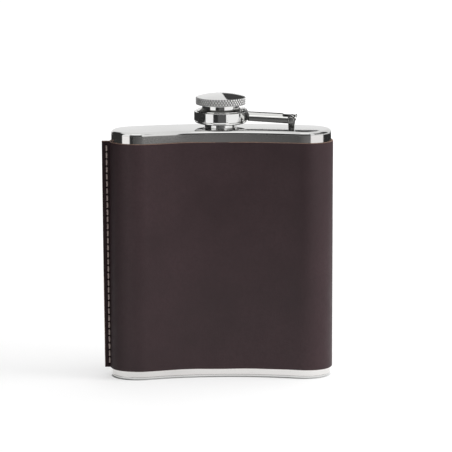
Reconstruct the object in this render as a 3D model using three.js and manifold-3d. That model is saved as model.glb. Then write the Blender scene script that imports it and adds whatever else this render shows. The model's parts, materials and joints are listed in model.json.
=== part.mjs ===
// Curved steel hip flask in a sewn leather wrap, with a captive screw cap on a hinged arm.
// Millimetres, +Z up. The origin is on the foot plate, under the axis of the neck. The hollow face of the
// body looks along -Y, and the arm runs towards +X.
import * as THREE from "three";
import { mergeVertices } from "three/addons/utils/BufferGeometryUtils.js";
import Module from "manifold-3d";

const wasm = await Module();
wasm.setup();

// Body: a sheet tube whose section follows an arc and has round ends.
const BODY_WIDTH = 94;
const BODY_DEPTH = 22;
const BODY_CURVE_RADIUS = 120;
const SHEET = 0.8;
const FOOT_HEIGHT = 1.2;
const FOOT_ROUND = 0.9;
const SHOULDER_Z = 105.7;
const SHOULDER_ROUND = 1.5;
const CROWN_HEIGHT = 0.8;
const CROWN_REACH = 7;
const CURVE_STEPS = 14;
const END_STEPS = 14;

// Leather wrap and its sewn fin, on the -X end.
const GLUE_LINE = 0.1;
const LEATHER = 0.8;
const WRAP_BOTTOM = 3.65;
const WRAP_TOP = 102.45;
const FIN_THICKNESS = 1.9;
const FIN_TOP_X = -51.4;
const FIN_BOTTOM_X = -50.8;
const FIN_ROOT_X = -47.3;
const FIN_CORNER = 0.8;
const SEAM_INSET = 2.25;
const SEAM_END_MARGIN = 1.7;
const STITCHES = 31;
const STITCH_HOLE_RADIUS = 0.6;
const THREAD_RADIUS = 0.25;
const THREAD_RISE = 0.45;
const THREAD_DIP = 0.35;

// Neck and its screw thread.
const NECK_BORE_RADIUS = 5.4;
const NECK_COLLAR_RADIUS = 7.05;
const NECK_HOLE_GAP = 0.15;
const NECK_ROOT_RADIUS = 6.35;
const NECK_TOP = 114.5;
const NECK_COLLAR_TOP = 109.2;
const NECK_FLANGE_RADIUS = 8.2;
const NECK_FLANGE_BOTTOM = 105.5;
const NECK_FLANGE_TOP = 106.1;
const LIP_BEVEL = 0.3;
const THREAD_PITCH = 1.6;
const THREAD_TURNS = 1.9;
const THREAD_START = 110.0;
const THREAD_TUBE_RADIUS = 0.5;
const THREAD_CENTRE_RADIUS = 6.5;
const GROOVE_TURNS = 2.6;

// Cap: a threaded drum with a slim hub, and the knurled head that is pressed on the hub.
const DRUM_RADIUS = 11.4;
const DRUM_BOTTOM = 109.2;
const DRUM_TOP = 114.2;
const DRUM_CHAMFER = 0.6;
const DRUM_ROUND = 0.4;
const DRUM_BORE_RADIUS = 7.35;
const BORE_BEVEL = 0.4;
const DRUM_GROOVE_RADIUS = 7.4;
const HUB_RADIUS = 7.9;
const HUB_TOP = 117.2;
const HUB_BORE_RADIUS = 6.9;
const HUB_BORE_TOP = 115.5;
const HEAD_RADIUS = 10.8;
const HEAD_TOP = 120.0;
const HEAD_CHAMFER = 0.5;
const HEAD_EDGE = 0.3;
const DOME_TOP = 121.8;
const STUD_RADIUS = 3;
const STUD_LENGTH = 1;
const GASKET_RADIUS = 6.6;
const GASKET_THICKNESS = 0.8;

// Captive arm, its hinge lug and its pin. The arm lies over the curved centre line of the body.
const HINGE_X = 30.2;
const PIN_Z = 111;
const PIN_RADIUS = 0.9;
const PIN_HEAD_RADIUS = 1.3;
const PIN_HEAD = 0.5;
const ARM_WIDTH = 6;
const ARM_SHEET = 0.6;
const ARM_START = 11.85;
const ARM_CREST_Z = 114.1;
const ARM_WALL = 1.5;
const ARM_ARCH = 2.05;
const ARM_DROP = 0.7;
const ARM_END_REACH = 2.2;
const CHEEK_RADIUS = 1.75;
const EYE_RADIUS = 10.35;
const EYE_BOTTOM = 114.5;
const EYE_THICKNESS = 0.9;
const SLOT_LENGTH = 3.6;
const LUG_WIDTH = 4;
const LUG_LENGTH = 2.6;
const LUG_TOP_RADIUS = 1.6;
const LUG_FOOT_Z = 108.15;
const LUG_FOOT_FLARE = 0.3;
const RUNNING_GAP = 0.3;
const TURN_STEPS = 36;
const SMALL_STEPS = 16;

const STEEL = { color: 0xd3d3d1, roughness: 0.14, metalness: 1 };
const DARK_LEATHER = { color: 0x3e3234, roughness: 0.55, metalness: 0 };
const TAN_THREAD = { color: 0x6f6157, roughness: 0.8, metalness: 0 };
const SOFT_SEAL = { color: 0xe8e6df, roughness: 0.6, metalness: 0 };

// Half the angle that the section's arc spans, and the centres of its round ends.
const END_OFFSET = (BODY_WIDTH - BODY_DEPTH) / 2;
const HALF_ANGLE = Math.asin(END_OFFSET / BODY_CURVE_RADIUS);
const END_Y = BODY_CURVE_RADIUS * (Math.cos(HALF_ANGLE) - 1);

// A three.js geometry as a solid that can be joined and cut.
function solid(geometry) {
  const bare = geometry.clone();
  bare.deleteAttribute("normal");
  bare.deleteAttribute("uv");
  const merged = mergeVertices(bare, 1e-4);
  const mesh = new wasm.Mesh({
    numProp: 3,
    vertProperties: merged.attributes.position.array,
    triVerts: new Uint32Array(merged.index.array),
  });
  return new wasm.Manifold(mesh);
}

// A solid as a named three.js mesh.
function piece(name, body, look) {
  const mesh = body.getMesh();
  const geometry = new THREE.BufferGeometry();
  geometry.setAttribute("position", new THREE.BufferAttribute(mesh.vertProperties, 3));
  geometry.setIndex(new THREE.BufferAttribute(mesh.triVerts, 1));
  geometry.computeVertexNormals();
  const result = new THREE.Mesh(geometry, new THREE.MeshStandardMaterial(look));
  result.name = name;
  return result;
}

// Points on an arc, without its last one, so that arcs can follow each other.
function arcPoints(x, y, radius, from, to, steps) {
  return Array.from({ length: steps }, (_, i) => {
    const angle = from + ((to - from) * i) / steps;
    return new THREE.Vector2(x + radius * Math.cos(angle), y + radius * Math.sin(angle));
  });
}

// The body's section, grown outwards by `grow`.
function bodySection(grow) {
  const half = BODY_DEPTH / 2 + grow;
  const right = Math.PI / 2 - HALF_ANGLE;
  const left = Math.PI / 2 + HALF_ANGLE;
  return new THREE.Shape([
    ...arcPoints(0, -BODY_CURVE_RADIUS, BODY_CURVE_RADIUS + half, right, left, CURVE_STEPS),
    ...arcPoints(-END_OFFSET, END_Y, half, left, left + Math.PI, END_STEPS),
    ...arcPoints(0, -BODY_CURVE_RADIUS, BODY_CURVE_RADIUS - half, left, right, CURVE_STEPS),
    ...arcPoints(END_OFFSET, END_Y, half, right + Math.PI, right + 2 * Math.PI, END_STEPS),
  ]);
}

// A straight block of the body's section between two heights.
function bodyBlock(grow, bottom, top) {
  const geometry = new THREE.ExtrudeGeometry(bodySection(grow), { depth: top - bottom, bevelEnabled: false });
  return solid(geometry.translate(0, 0, bottom));
}

// The same block with a rounded upper edge: `reach` inwards and `rise` upwards.
function crownedBlock(grow, bottom, top, reach, rise, segments) {
  const geometry = new THREE.ExtrudeGeometry(bodySection(grow - reach), {
    depth: top - rise - bottom,
    bevelThickness: rise,
    bevelSize: reach,
    bevelSegments: segments,
  });
  const whole = solid(geometry.translate(0, 0, bottom));
  return whole.intersect(bodyBlock(grow + 1, bottom, top + 1));
}

// A solid of revolution about the neck's axis, from [radius, z] pairs that run up on the outside.
function turned(profile, steps = TURN_STEPS) {
  const points = profile.map(([radius, z]) => new THREE.Vector2(radius, z));
  return solid(new THREE.LatheGeometry(points, steps).rotateX(Math.PI / 2));
}

// A flat outline in the X-Z plane, made `width` thick about the plane y.
function plateXZ(outline, width, y = 0) {
  const geometry = new THREE.ExtrudeGeometry(new THREE.Shape(outline), { depth: width, bevelEnabled: false });
  return solid(geometry.rotateX(Math.PI / 2).translate(0, y + width / 2, 0));
}

// A round bar along Y, centred on y = 0.
function barY(radius, length, x, z, steps = SMALL_STEPS) {
  return solid(new THREE.CylinderGeometry(radius, radius, length, steps).translate(x, 0, z));
}

function corner(x, z) {
  return new THREE.Vector2(x, z);
}

// The pressed shoulder: a shallow pan with a rounded rim, a low crown and a hole for the neck.
function topPlate() {
  const shape = (inset) => {
    const rimTop = SHOULDER_Z + SHOULDER_ROUND - inset;
    const rim = crownedBlock(-inset, SHOULDER_Z, rimTop, SHOULDER_ROUND - inset, SHOULDER_ROUND - inset, 3);
    const crown = crownedBlock(-SHOULDER_ROUND, SHOULDER_Z, rimTop + CROWN_HEIGHT, CROWN_REACH, CROWN_HEIGHT, 3);
    return rim.add(crown);
  };
  const hole = turned([
    [0, SHOULDER_Z - 1],
    [NECK_COLLAR_RADIUS + NECK_HOLE_GAP, SHOULDER_Z - 1],
    [NECK_COLLAR_RADIUS + NECK_HOLE_GAP, NECK_TOP],
    [0, NECK_TOP],
  ]);
  return shape(0).subtract(shape(SHEET)).subtract(hole);
}

// The foot: a flat sheet whose outer edge is rounded.
function bottomPlate() {
  return crownedBlock(0, -FOOT_HEIGHT, 0, FOOT_ROUND, FOOT_ROUND, 3)
    .rotate([180, 0, 0])
    .mirror([0, 1, 0]);
}

// The side wall, open at both ends.
function bodyShell() {
  const inside = bodyBlock(-SHEET, 0, SHOULDER_Z + 1);
  return bodyBlock(0, FOOT_HEIGHT, SHOULDER_Z).subtract(inside);
}

// X of the seam at a height: the fin's free edge leans a little.
function seamX(z) {
  const share = (z - WRAP_BOTTOM) / (WRAP_TOP - WRAP_BOTTOM);
  return THREE.MathUtils.lerp(FIN_BOTTOM_X, FIN_TOP_X, share) + SEAM_INSET;
}

const SEAM_START = WRAP_BOTTOM + SEAM_END_MARGIN;
const STITCH_PITCH = (WRAP_TOP - SEAM_END_MARGIN - SEAM_START) / STITCHES;

// The leather: a tube that hugs the body, with both ends of the sheet sewn together as a fin.
function leatherWrap() {
  const fin = plateXZ(
    [
      corner(FIN_ROOT_X, WRAP_BOTTOM),
      corner(FIN_ROOT_X, WRAP_TOP),
      corner(FIN_TOP_X + FIN_CORNER, WRAP_TOP),
      corner(FIN_TOP_X, WRAP_TOP - FIN_CORNER),
      corner(FIN_BOTTOM_X, WRAP_BOTTOM + FIN_CORNER),
      corner(FIN_BOTTOM_X + FIN_CORNER, WRAP_BOTTOM),
    ],
    FIN_THICKNESS,
    END_Y,
  );
  const outside = bodyBlock(GLUE_LINE + LEATHER, WRAP_BOTTOM, WRAP_TOP);
  const inside = bodyBlock(GLUE_LINE, WRAP_BOTTOM - 1, WRAP_TOP + 1);
  let wrap = outside.subtract(inside).add(fin);
  for (let i = 0; i <= STITCHES; i += 1) {
    const z = SEAM_START + i * STITCH_PITCH;
    const hole = barY(STITCH_HOLE_RADIUS, 2 * FIN_THICKNESS, seamX(z), z, 8).translate([0, END_Y, 0]);
    wrap = wrap.subtract(hole);
  }
  return wrap;
}

// One thread of the lock stitch. side is -1 for the needle thread in front, +1 for the bobbin thread behind.
class StitchPath extends THREE.Curve {
  constructor(side) {
    super();
    this.side = side;
  }

  getPoint(t) {
    const along = t * STITCHES;
    const toHole = Math.abs(along - Math.round(along));
    const lift = THREE.MathUtils.smoothstep(toHole, 0, 0.16);
    const out = FIN_THICKNESS / 2 + THREE.MathUtils.lerp(-THREAD_DIP, THREAD_RISE, lift);
    const z = SEAM_START + along * STITCH_PITCH;
    return new THREE.Vector3(seamX(z), END_Y + this.side * out, z);
  }
}

function seamThread(side) {
  const section = new THREE.Shape(arcPoints(0, 0, THREAD_RADIUS, 0, 2 * Math.PI, 5));
  const path = new StitchPath(side);
  return solid(new THREE.ExtrudeGeometry(section, { steps: STITCHES * 6, extrudePath: path }));
}

// A screw thread's centre line about the neck's axis.
class ThreadPath extends THREE.Curve {
  constructor(radius, start, turns) {
    super();
    Object.assign(this, { radius, start, turns });
  }

  getPoint(t) {
    const angle = 2 * Math.PI * this.turns * t;
    const z = this.start + THREAD_PITCH * this.turns * t;
    return new THREE.Vector3(this.radius * Math.cos(angle), this.radius * Math.sin(angle), z);
  }
}

function threadTube(radius, start, turns, tubeRadius) {
  const section = new THREE.Shape(arcPoints(0, 0, tubeRadius, 0, 2 * Math.PI, 6));
  const path = new ThreadPath(radius, start, turns);
  return solid(new THREE.ExtrudeGeometry(section, { steps: Math.round(turns * 20), extrudePath: path }));
}

// The spout: a collar at the shoulder, a rolled thread and a plain sealing lip.
function neck() {
  const tube = turned([
    [NECK_BORE_RADIUS, NECK_FLANGE_BOTTOM],
    [NECK_FLANGE_RADIUS, NECK_FLANGE_BOTTOM],
    [NECK_FLANGE_RADIUS, NECK_FLANGE_TOP],
    [NECK_COLLAR_RADIUS, NECK_FLANGE_TOP],
    [NECK_COLLAR_RADIUS, NECK_COLLAR_TOP],
    [NECK_ROOT_RADIUS, NECK_COLLAR_TOP + LIP_BEVEL],
    [NECK_ROOT_RADIUS, NECK_TOP - LIP_BEVEL],
    [NECK_ROOT_RADIUS - LIP_BEVEL, NECK_TOP],
    [NECK_BORE_RADIUS, NECK_TOP],
    [NECK_BORE_RADIUS, NECK_FLANGE_BOTTOM],
  ]);
  return tube.add(threadTube(THREAD_CENTRE_RADIUS, THREAD_START, THREAD_TURNS, THREAD_TUBE_RADIUS));
}

// The cap's drum and hub in one: a blind bore with a thread groove, and a socket for the head's stud.
function capBody() {
  const socketBottom = HUB_TOP - STUD_LENGTH - RUNNING_GAP;
  const socketRadius = STUD_RADIUS + RUNNING_GAP;
  const blank = turned([
    [0, HUB_BORE_TOP],
    [HUB_BORE_RADIUS, HUB_BORE_TOP],
    [HUB_BORE_RADIUS, DRUM_TOP - BORE_BEVEL],
    [DRUM_BORE_RADIUS, DRUM_TOP - 2 * BORE_BEVEL],
    [DRUM_BORE_RADIUS, DRUM_BOTTOM + BORE_BEVEL],
    [DRUM_BORE_RADIUS + BORE_BEVEL, DRUM_BOTTOM],
    [DRUM_RADIUS - DRUM_CHAMFER, DRUM_BOTTOM],
    [DRUM_RADIUS, DRUM_BOTTOM + DRUM_CHAMFER],
    [DRUM_RADIUS, DRUM_TOP - DRUM_ROUND],
    [DRUM_RADIUS - 0.3 * DRUM_ROUND, DRUM_TOP - 0.3 * DRUM_ROUND],
    [DRUM_RADIUS - DRUM_ROUND, DRUM_TOP],
    [HUB_RADIUS, DRUM_TOP],
    [HUB_RADIUS, HUB_TOP],
    [socketRadius, HUB_TOP],
    [socketRadius, socketBottom],
    [0, socketBottom],
  ]);
  const grooveStart = DRUM_BOTTOM - THREAD_PITCH / 2;
  return blank.subtract(threadTube(DRUM_GROOVE_RADIUS, grooveStart, GROOVE_TURNS, THREAD_TUBE_RADIUS));
}

// The knurled head, kept smooth here: a disc with a bevelled edge, a low dome and a stud below.
function capKnob() {
  const domeRadius = HEAD_RADIUS - HEAD_CHAMFER;
  const domeStart = HEAD_TOP + HEAD_CHAMFER;
  const rise = DOME_TOP - domeStart;
  const dome = [0.25, 0.5, 0.75].map((share) => {
    const angle = (share * Math.PI) / 2;
    return [domeRadius * Math.cos(angle), domeStart + rise * Math.sin(angle)];
  });
  return turned([
    [0, HUB_TOP - STUD_LENGTH],
    [STUD_RADIUS, HUB_TOP - STUD_LENGTH],
    [STUD_RADIUS, HUB_TOP],
    [HEAD_RADIUS - HEAD_EDGE, HUB_TOP],
    [HEAD_RADIUS, HUB_TOP + HEAD_EDGE],
    [HEAD_RADIUS, HEAD_TOP],
    [domeRadius, domeStart],
    ...dome,
    [0, DOME_TOP],
  ]);
}

function capGasket() {
  const bottom = (NECK_TOP + HUB_BORE_TOP - GASKET_THICKNESS) / 2;
  return turned([
    [0, bottom],
    [GASKET_RADIUS, bottom],
    [GASKET_RADIUS, bottom + GASKET_THICKNESS],
    [0, bottom + GASKET_THICKNESS],
  ]);
}

// How far the arm has dropped at a distance x from the neck's axis.
function armDrop(x, pinX) {
  return (ARM_DROP * (x - ARM_START)) / (pinX - ARM_START);
}

// A bar along the arm: two upright walls under a low arch, made smaller all round by `inset`.
function archedBar(inset, start, end, pinX) {
  const half = ARM_WIDTH / 2 - inset;
  const spring = ARM_CREST_Z - ARM_ARCH;
  const foot = spring - ARM_WALL - (inset > 0 ? 1 : 0);
  const arch = arcPoints(0, 0, 1, 0, Math.PI, SMALL_STEPS).map((point) => {
    return corner(half * point.x, spring + (ARM_ARCH - inset) * point.y);
  });
  const outline = [corner(half, foot), ...arch, corner(-half, spring), corner(-half, foot)];
  const geometry = new THREE.ExtrudeGeometry(new THREE.Shape(outline), { depth: end - start, bevelEnabled: false });
  geometry.rotateX(Math.PI / 2).rotateZ(Math.PI / 2).translate(start, 0, 0);
  const slope = armDrop(ARM_START + 1, pinX);
  const shear = new THREE.Matrix4().makeShear(0, -slope, 0, 0, 0, 0);
  return solid(geometry.applyMatrix4(shear).translate(0, 0, slope * ARM_START));
}

// Side outline of the arm, from its end by the drum to its rounded end past the pin.
function armSide(pinX) {
  const wallFoot = ARM_CREST_Z - ARM_ARCH - ARM_WALL;
  const end = pinX + ARM_END_REACH;
  return [
    corner(ARM_START, wallFoot - 1),
    corner(pinX - 2 * CHEEK_RADIUS, wallFoot - armDrop(pinX - 2 * CHEEK_RADIUS, pinX)),
    ...arcPoints(pinX, PIN_Z, CHEEK_RADIUS, -Math.PI / 2 - 0.3, 0, 8),
    corner(end, PIN_Z + CHEEK_RADIUS / 2),
    corner(end, ARM_CREST_Z - ARM_DROP - 0.8),
    corner(end - 0.7, ARM_CREST_Z),
    corner(ARM_START, ARM_CREST_Z + 1),
  ];
}

// The captive arm: an eye round the hub, a step down past the drum, and an arched channel to the pin.
function captiveArm(pinX) {
  const reach = pinX + 2 * CHEEK_RADIUS;
  const cheeks = plateXZ(
    arcPoints(pinX, PIN_Z, CHEEK_RADIUS, 0, 2 * Math.PI, SMALL_STEPS),
    ARM_WIDTH,
  );
  const channel = archedBar(0, ARM_START, reach, pinX).add(cheeks).intersect(plateXZ(armSide(pinX), ARM_WIDTH));
  const hollow = archedBar(ARM_SHEET, ARM_START - 1, reach, pinX);
  const slot = plateXZ(
    [
      corner(pinX - SLOT_LENGTH, PIN_Z - 2 * CHEEK_RADIUS),
      corner(reach, PIN_Z - 2 * CHEEK_RADIUS),
      corner(reach, ARM_CREST_Z + 1),
      corner(pinX - SLOT_LENGTH, ARM_CREST_Z + 1),
    ],
    ARM_WIDTH - 2 * ARM_SHEET,
  );
  const eyeTop = EYE_BOTTOM + EYE_THICKNESS;
  const eye = turned([
    [0, EYE_BOTTOM],
    [EYE_RADIUS, EYE_BOTTOM],
    [EYE_RADIUS, eyeTop],
    [0, eyeTop],
  ]);
  const step = plateXZ(
    [
      corner(HUB_RADIUS, EYE_BOTTOM),
      corner(ARM_START, EYE_BOTTOM),
      corner(ARM_START, ARM_CREST_Z - ARM_ARCH),
      corner(ARM_START + ARM_SHEET, ARM_CREST_Z - ARM_ARCH),
      corner(ARM_START + ARM_SHEET, ARM_CREST_Z),
      corner(ARM_START + 3 * ARM_SHEET, ARM_CREST_Z - ARM_SHEET / 2),
      corner(ARM_START + ARM_SHEET, eyeTop),
      corner(HUB_RADIUS, eyeTop),
    ],
    ARM_WIDTH - 2 * ARM_SHEET,
  );
  const hubHole = turned([
    [0, EYE_BOTTOM - 1],
    [HUB_RADIUS + RUNNING_GAP, EYE_BOTTOM - 1],
    [HUB_RADIUS + RUNNING_GAP, eyeTop + 1],
    [0, eyeTop + 1],
  ]);
  const pinHole = barY(PIN_RADIUS + RUNNING_GAP, 2 * ARM_WIDTH, pinX, PIN_Z);
  const sleeve = channel.subtract(hollow).subtract(slot);
  return sleeve.add(eye.add(step).subtract(hubHole)).subtract(pinHole);
}

// The post that carries the arm, with a wider welded foot.
function hingeLug(pinX) {
  const half = LUG_LENGTH / 2;
  const foot = half + LUG_FOOT_FLARE;
  const post = plateXZ(
    [
      corner(pinX - foot, LUG_FOOT_Z),
      corner(pinX + foot, LUG_FOOT_Z),
      corner(pinX + half, LUG_FOOT_Z + 0.5),
      ...arcPoints(pinX, PIN_Z, LUG_TOP_RADIUS, -0.4, Math.PI + 0.4, 12),
      corner(pinX - half, LUG_FOOT_Z + 0.5),
    ],
    LUG_WIDTH,
  );
  return post.subtract(barY(PIN_RADIUS + RUNNING_GAP / 2, 2 * LUG_WIDTH, pinX, PIN_Z));
}

// A rivet with a low head on each side of the arm.
function hingePin(pinX) {
  const shank = barY(PIN_RADIUS, ARM_WIDTH + 2 * RUNNING_GAP + PIN_HEAD, pinX, PIN_Z);
  const heads = [-1, 1].map((side) => {
    const y = side * (ARM_WIDTH / 2 + RUNNING_GAP + PIN_HEAD / 2);
    return barY(PIN_HEAD_RADIUS, PIN_HEAD, pinX, PIN_Z).translate([0, y, 0]);
  });
  return shank.add(heads[0]).add(heads[1]);
}

const hingeY = Math.sqrt(BODY_CURVE_RADIUS ** 2 - HINGE_X ** 2) - BODY_CURVE_RADIUS;
const armLength = Math.hypot(HINGE_X, hingeY);

const hinge = new THREE.Group();
hinge.rotation.z = Math.atan2(hingeY, HINGE_X);
hinge.add(
  piece("arm", captiveArm(armLength), STEEL),
  piece("hinge_lug", hingeLug(armLength), STEEL),
  piece("hinge_pin", hingePin(armLength), STEEL),
);

const flask = new THREE.Group();
flask.add(
  piece("body_shell", bodyShell(), STEEL),
  piece("top_plate", topPlate(), STEEL),
  piece("bottom_plate", bottomPlate(), STEEL),
  piece("neck", neck(), STEEL),
  piece("leather_wrap", leatherWrap(), DARK_LEATHER),
  piece("needle_thread", seamThread(-1), TAN_THREAD),
  piece("bobbin_thread", seamThread(1), TAN_THREAD),
  piece("cap_body", capBody(), STEEL),
  piece("cap_knob", capKnob(), STEEL),
  piece("cap_gasket", capGasket(), SOFT_SEAL),
  hinge,
);

export default flask;
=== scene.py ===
import json
import math

import bmesh
import bpy
import numpy as np
from mathutils import Matrix, Vector


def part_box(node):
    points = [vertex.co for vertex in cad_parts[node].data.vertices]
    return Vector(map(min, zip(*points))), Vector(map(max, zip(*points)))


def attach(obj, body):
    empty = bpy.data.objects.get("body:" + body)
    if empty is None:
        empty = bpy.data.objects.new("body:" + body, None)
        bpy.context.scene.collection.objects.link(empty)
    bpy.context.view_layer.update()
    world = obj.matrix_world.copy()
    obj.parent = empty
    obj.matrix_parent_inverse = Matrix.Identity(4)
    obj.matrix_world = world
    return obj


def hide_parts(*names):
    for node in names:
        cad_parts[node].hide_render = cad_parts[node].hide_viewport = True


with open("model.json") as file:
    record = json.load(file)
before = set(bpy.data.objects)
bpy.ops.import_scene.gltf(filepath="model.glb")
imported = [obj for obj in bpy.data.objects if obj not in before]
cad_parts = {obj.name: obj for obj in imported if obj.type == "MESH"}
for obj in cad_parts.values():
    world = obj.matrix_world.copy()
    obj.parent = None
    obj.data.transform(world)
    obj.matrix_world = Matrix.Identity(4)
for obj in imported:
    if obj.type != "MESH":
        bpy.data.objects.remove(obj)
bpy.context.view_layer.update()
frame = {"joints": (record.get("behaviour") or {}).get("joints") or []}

# Lengths are worked out in millimetres and turned into metres when a mesh is made.
MM = 0.001


def cad_box(node):
    """A CAD node's lowest and highest corners, in millimetres."""
    low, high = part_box(node)
    return low / MM, high / MM


def cad_top(node):
    return cad_box(node)[1].z


def cad_bottom(node):
    return cad_box(node)[0].z


def cad_radius(node):
    """Half of a round node's width."""
    low, high = cad_box(node)
    return (high.x - low.x) / 2


# ---- Sizes taken from the frame ----
SHELL_LOW, SHELL_HIGH = cad_box("body_shell")
WRAP_LOW, WRAP_HIGH = cad_box("leather_wrap")
BODY_CURVE = 120.0  # radius of the section's centre line
BODY_HALF_DEPTH = 11.0
BODY_HALF_WIDTH = 47.0
END_X = BODY_HALF_WIDTH - BODY_HALF_DEPTH
END_ANGLE = math.asin(END_X / BODY_CURVE)
END_Y = BODY_CURVE * (math.cos(END_ANGLE) - 1)
SHEET = 0.8
HINGE = Vector(frame["joints"][0]["pos_m"]) / MM
HINGE_TURN = math.atan2(HINGE.y, HINGE.x)
ARM_LENGTH = math.hypot(HINGE.x, HINGE.y)


# ---- Outlines ----
FILLET_STEPS = 5
SIDE_STEPS = 110  # points on each long side of the body's section
END_STEPS = 72  # points on each round end


def arc(x, y, radius, start, end, steps):
    """Points on an arc from start to end, in degrees, without the last one."""
    angles = np.radians(start + (end - start) * np.arange(steps) / steps)
    return np.stack([x + radius * np.cos(angles), y + radius * np.sin(angles)], 1)


def filleted(corners):
    """A line through (u, v, radius) corners, each rounded by its own radius."""
    points = []
    for i, (u, v, radius) in enumerate(corners):
        here = np.array([u, v], float)
        if radius == 0 or i in (0, len(corners) - 1):
            points.append(here)
            continue
        back = np.array(corners[i - 1][:2], float) - here
        ahead = np.array(corners[i + 1][:2], float) - here
        back, ahead = back / np.linalg.norm(back), ahead / np.linalg.norm(ahead)
        half = math.acos(np.clip(back @ ahead, -1, 1)) / 2
        middle = (back + ahead) / np.linalg.norm(back + ahead)
        centre = here + middle * radius / math.sin(half)
        start, end = here + back * radius / math.tan(half), here + ahead * radius / math.tan(half)
        a, b = start - centre, end - centre
        sweep = math.acos(np.clip(a @ b / radius**2, -1, 1))
        for t in np.linspace(0, 1, FILLET_STEPS + 1):
            spoke = (math.sin((1 - t) * sweep) * a + math.sin(t * sweep) * b) / math.sin(sweep)
            points.append(centre + spoke)
    return np.array(points)


def refined(line, step):
    """The same line with extra points, so that none are further apart than step."""
    parts = []
    for a, b in zip(line[:-1], line[1:]):
        count = max(1, math.ceil(np.linalg.norm(b - a) / step))
        parts.append(a + (b - a) * np.arange(count)[:, None] / count)
    return np.vstack([*parts, line[-1:]])


def body_ring(grow):
    """The body's section, moved outwards by grow."""
    half, degrees = BODY_HALF_DEPTH + grow, math.degrees(END_ANGLE)
    return np.vstack([
        arc(0, -BODY_CURVE, BODY_CURVE + half, 90 - degrees, 90 + degrees, SIDE_STEPS),
        arc(-END_X, END_Y, half, 90 + degrees, 270 + degrees, END_STEPS),
        arc(0, -BODY_CURVE, BODY_CURVE - half, 90 + degrees, 90 - degrees, SIDE_STEPS),
        arc(END_X, END_Y, half, 270 - degrees, 450 - degrees, END_STEPS),
    ])


# ---- Meshes ----
SMOOTH_BELOW = 38  # degrees: blunter edges are shaded smooth
MERGE_DISTANCE = 2e-7


def make(name, vertices, faces, sharp=SMOOTH_BELOW):
    """A mesh object from points in millimetres, smooth apart from edges sharper than the given angle."""
    mesh = bpy.data.meshes.new(name)
    mesh.from_pydata((np.asarray(vertices, float) * MM).tolist(), [], [list(f) for f in faces])
    piece = bpy.data.objects.new(name, mesh)
    bpy.context.scene.collection.objects.link(piece)
    tidy(piece, sharp)
    return piece


def tidy(piece, sharp=SMOOTH_BELOW):
    """Merges doubled points, turns the faces outwards and sets the smooth shading."""
    form = bmesh.new()
    form.from_mesh(piece.data)
    bmesh.ops.remove_doubles(form, verts=form.verts, dist=MERGE_DISTANCE)
    bmesh.ops.dissolve_degenerate(form, edges=form.edges, dist=MERGE_DISTANCE)
    bmesh.ops.recalc_face_normals(form, faces=form.faces)
    form.to_mesh(piece.data)
    form.free()
    piece.data.shade_smooth()
    piece.data.set_sharp_from_angle(angle=math.radians(sharp))
    piece.data.update()


def grid_faces(rows, columns, closed_rows, closed_columns):
    """Quads between the points of a grid that is stored row by row."""
    faces = []
    for i in range(rows if closed_rows else rows - 1):
        for j in range(columns if closed_columns else columns - 1):
            a, b = i * columns, (i + 1) % rows * columns
            k = (j + 1) % columns
            faces.append((a + j, a + k, b + k, b + j))
    return faces


def loft_faces(rings, count):
    """Quads between rings of count points, and a flat face on each end."""
    last = (rings - 1) * count
    ends = [tuple(range(count)), tuple(last + i for i in range(count))]
    return grid_faces(rings, count, False, True) + ends


def turned(name, profile, steps, relief=None, sharp=SMOOTH_BELOW):
    """A turned piece about the Z axis, from (radius, z) points. relief gives how far points move outwards."""
    angles = 2 * math.pi * np.arange(steps) / steps
    radius = np.repeat(profile[:, :1], steps, 1)
    height = np.repeat(profile[:, 1:], steps, 1)
    if relief is not None:
        radius = radius + relief(angles[None, :], radius, height)
    points = np.stack([radius * np.cos(angles), radius * np.sin(angles), height], 2)
    return make(name, points.reshape(-1, 3), grid_faces(len(profile), steps, False, True), sharp)


def stacked(name, levels, closed=False):
    """Rings of the body's section at (grow, z) levels, with flat ends unless the levels are closed."""
    rings = [np.insert(body_ring(grow), 2, z, axis=1) for grow, z in levels]
    size = len(rings), len(rings[0])
    return make(name, np.vstack(rings), grid_faces(*size, True, True) if closed else loft_faces(*size))


def prism(name, outline, low, high, axis="y"):
    """A flat outline made thick: along Y if it is drawn in X-Z, or along Z if it is drawn in X-Y."""
    outline = np.asarray(outline, float)
    count = len(outline)
    ends = []
    for level in (low, high):
        column = np.full((count, 1), float(level))
        if axis == "y":
            ends.append(np.hstack([outline[:, :1], column, outline[:, 1:]]))
        else:
            ends.append(np.hstack([outline, column]))
    return make(name, np.vstack(ends), loft_faces(2, count))


def bar(name, radius, x, z, length):
    """A round bar along Y."""
    return prism(name, arc(x, z, radius, 0, 360, 48), -length / 2, length / 2)


def applied(piece):
    """The piece with its modifiers worked into its mesh."""
    bpy.context.view_layer.update()
    mesh = bpy.data.meshes.new_from_object(piece.evaluated_get(bpy.context.evaluated_depsgraph_get()))
    piece.modifiers.clear()
    piece.data = mesh
    return piece


def combined(piece, tool, operation):
    """Joins, cuts or keeps what is common, and removes the tool."""
    modifier = piece.modifiers.new("cut", "BOOLEAN")
    modifier.operation, modifier.object, modifier.solver = operation, tool, "EXACT"
    applied(piece)
    bpy.data.objects.remove(tool)
    tidy(piece)
    return piece


def bevelled(piece, width, segments=3, angle=35):
    """Rounds every edge that is sharper than the angle."""
    modifier = piece.modifiers.new("bevel", "BEVEL")
    modifier.width, modifier.segments = width * MM, segments
    modifier.limit_method, modifier.angle_limit = "ANGLE", math.radians(angle)
    modifier.use_clamp_overlap = True
    applied(piece)
    tidy(piece)
    return piece


def place(piece, material, body, slot, *nodes):
    """Gives a piece its body, hides the CAD nodes it replaces, and gives it a material unless it has its own.
    The slot is not used.
    """
    if material:
        piece.data.materials.clear()
        piece.data.materials.append(material)
    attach(piece, body)
    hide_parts(*nodes)
    return piece


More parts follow.
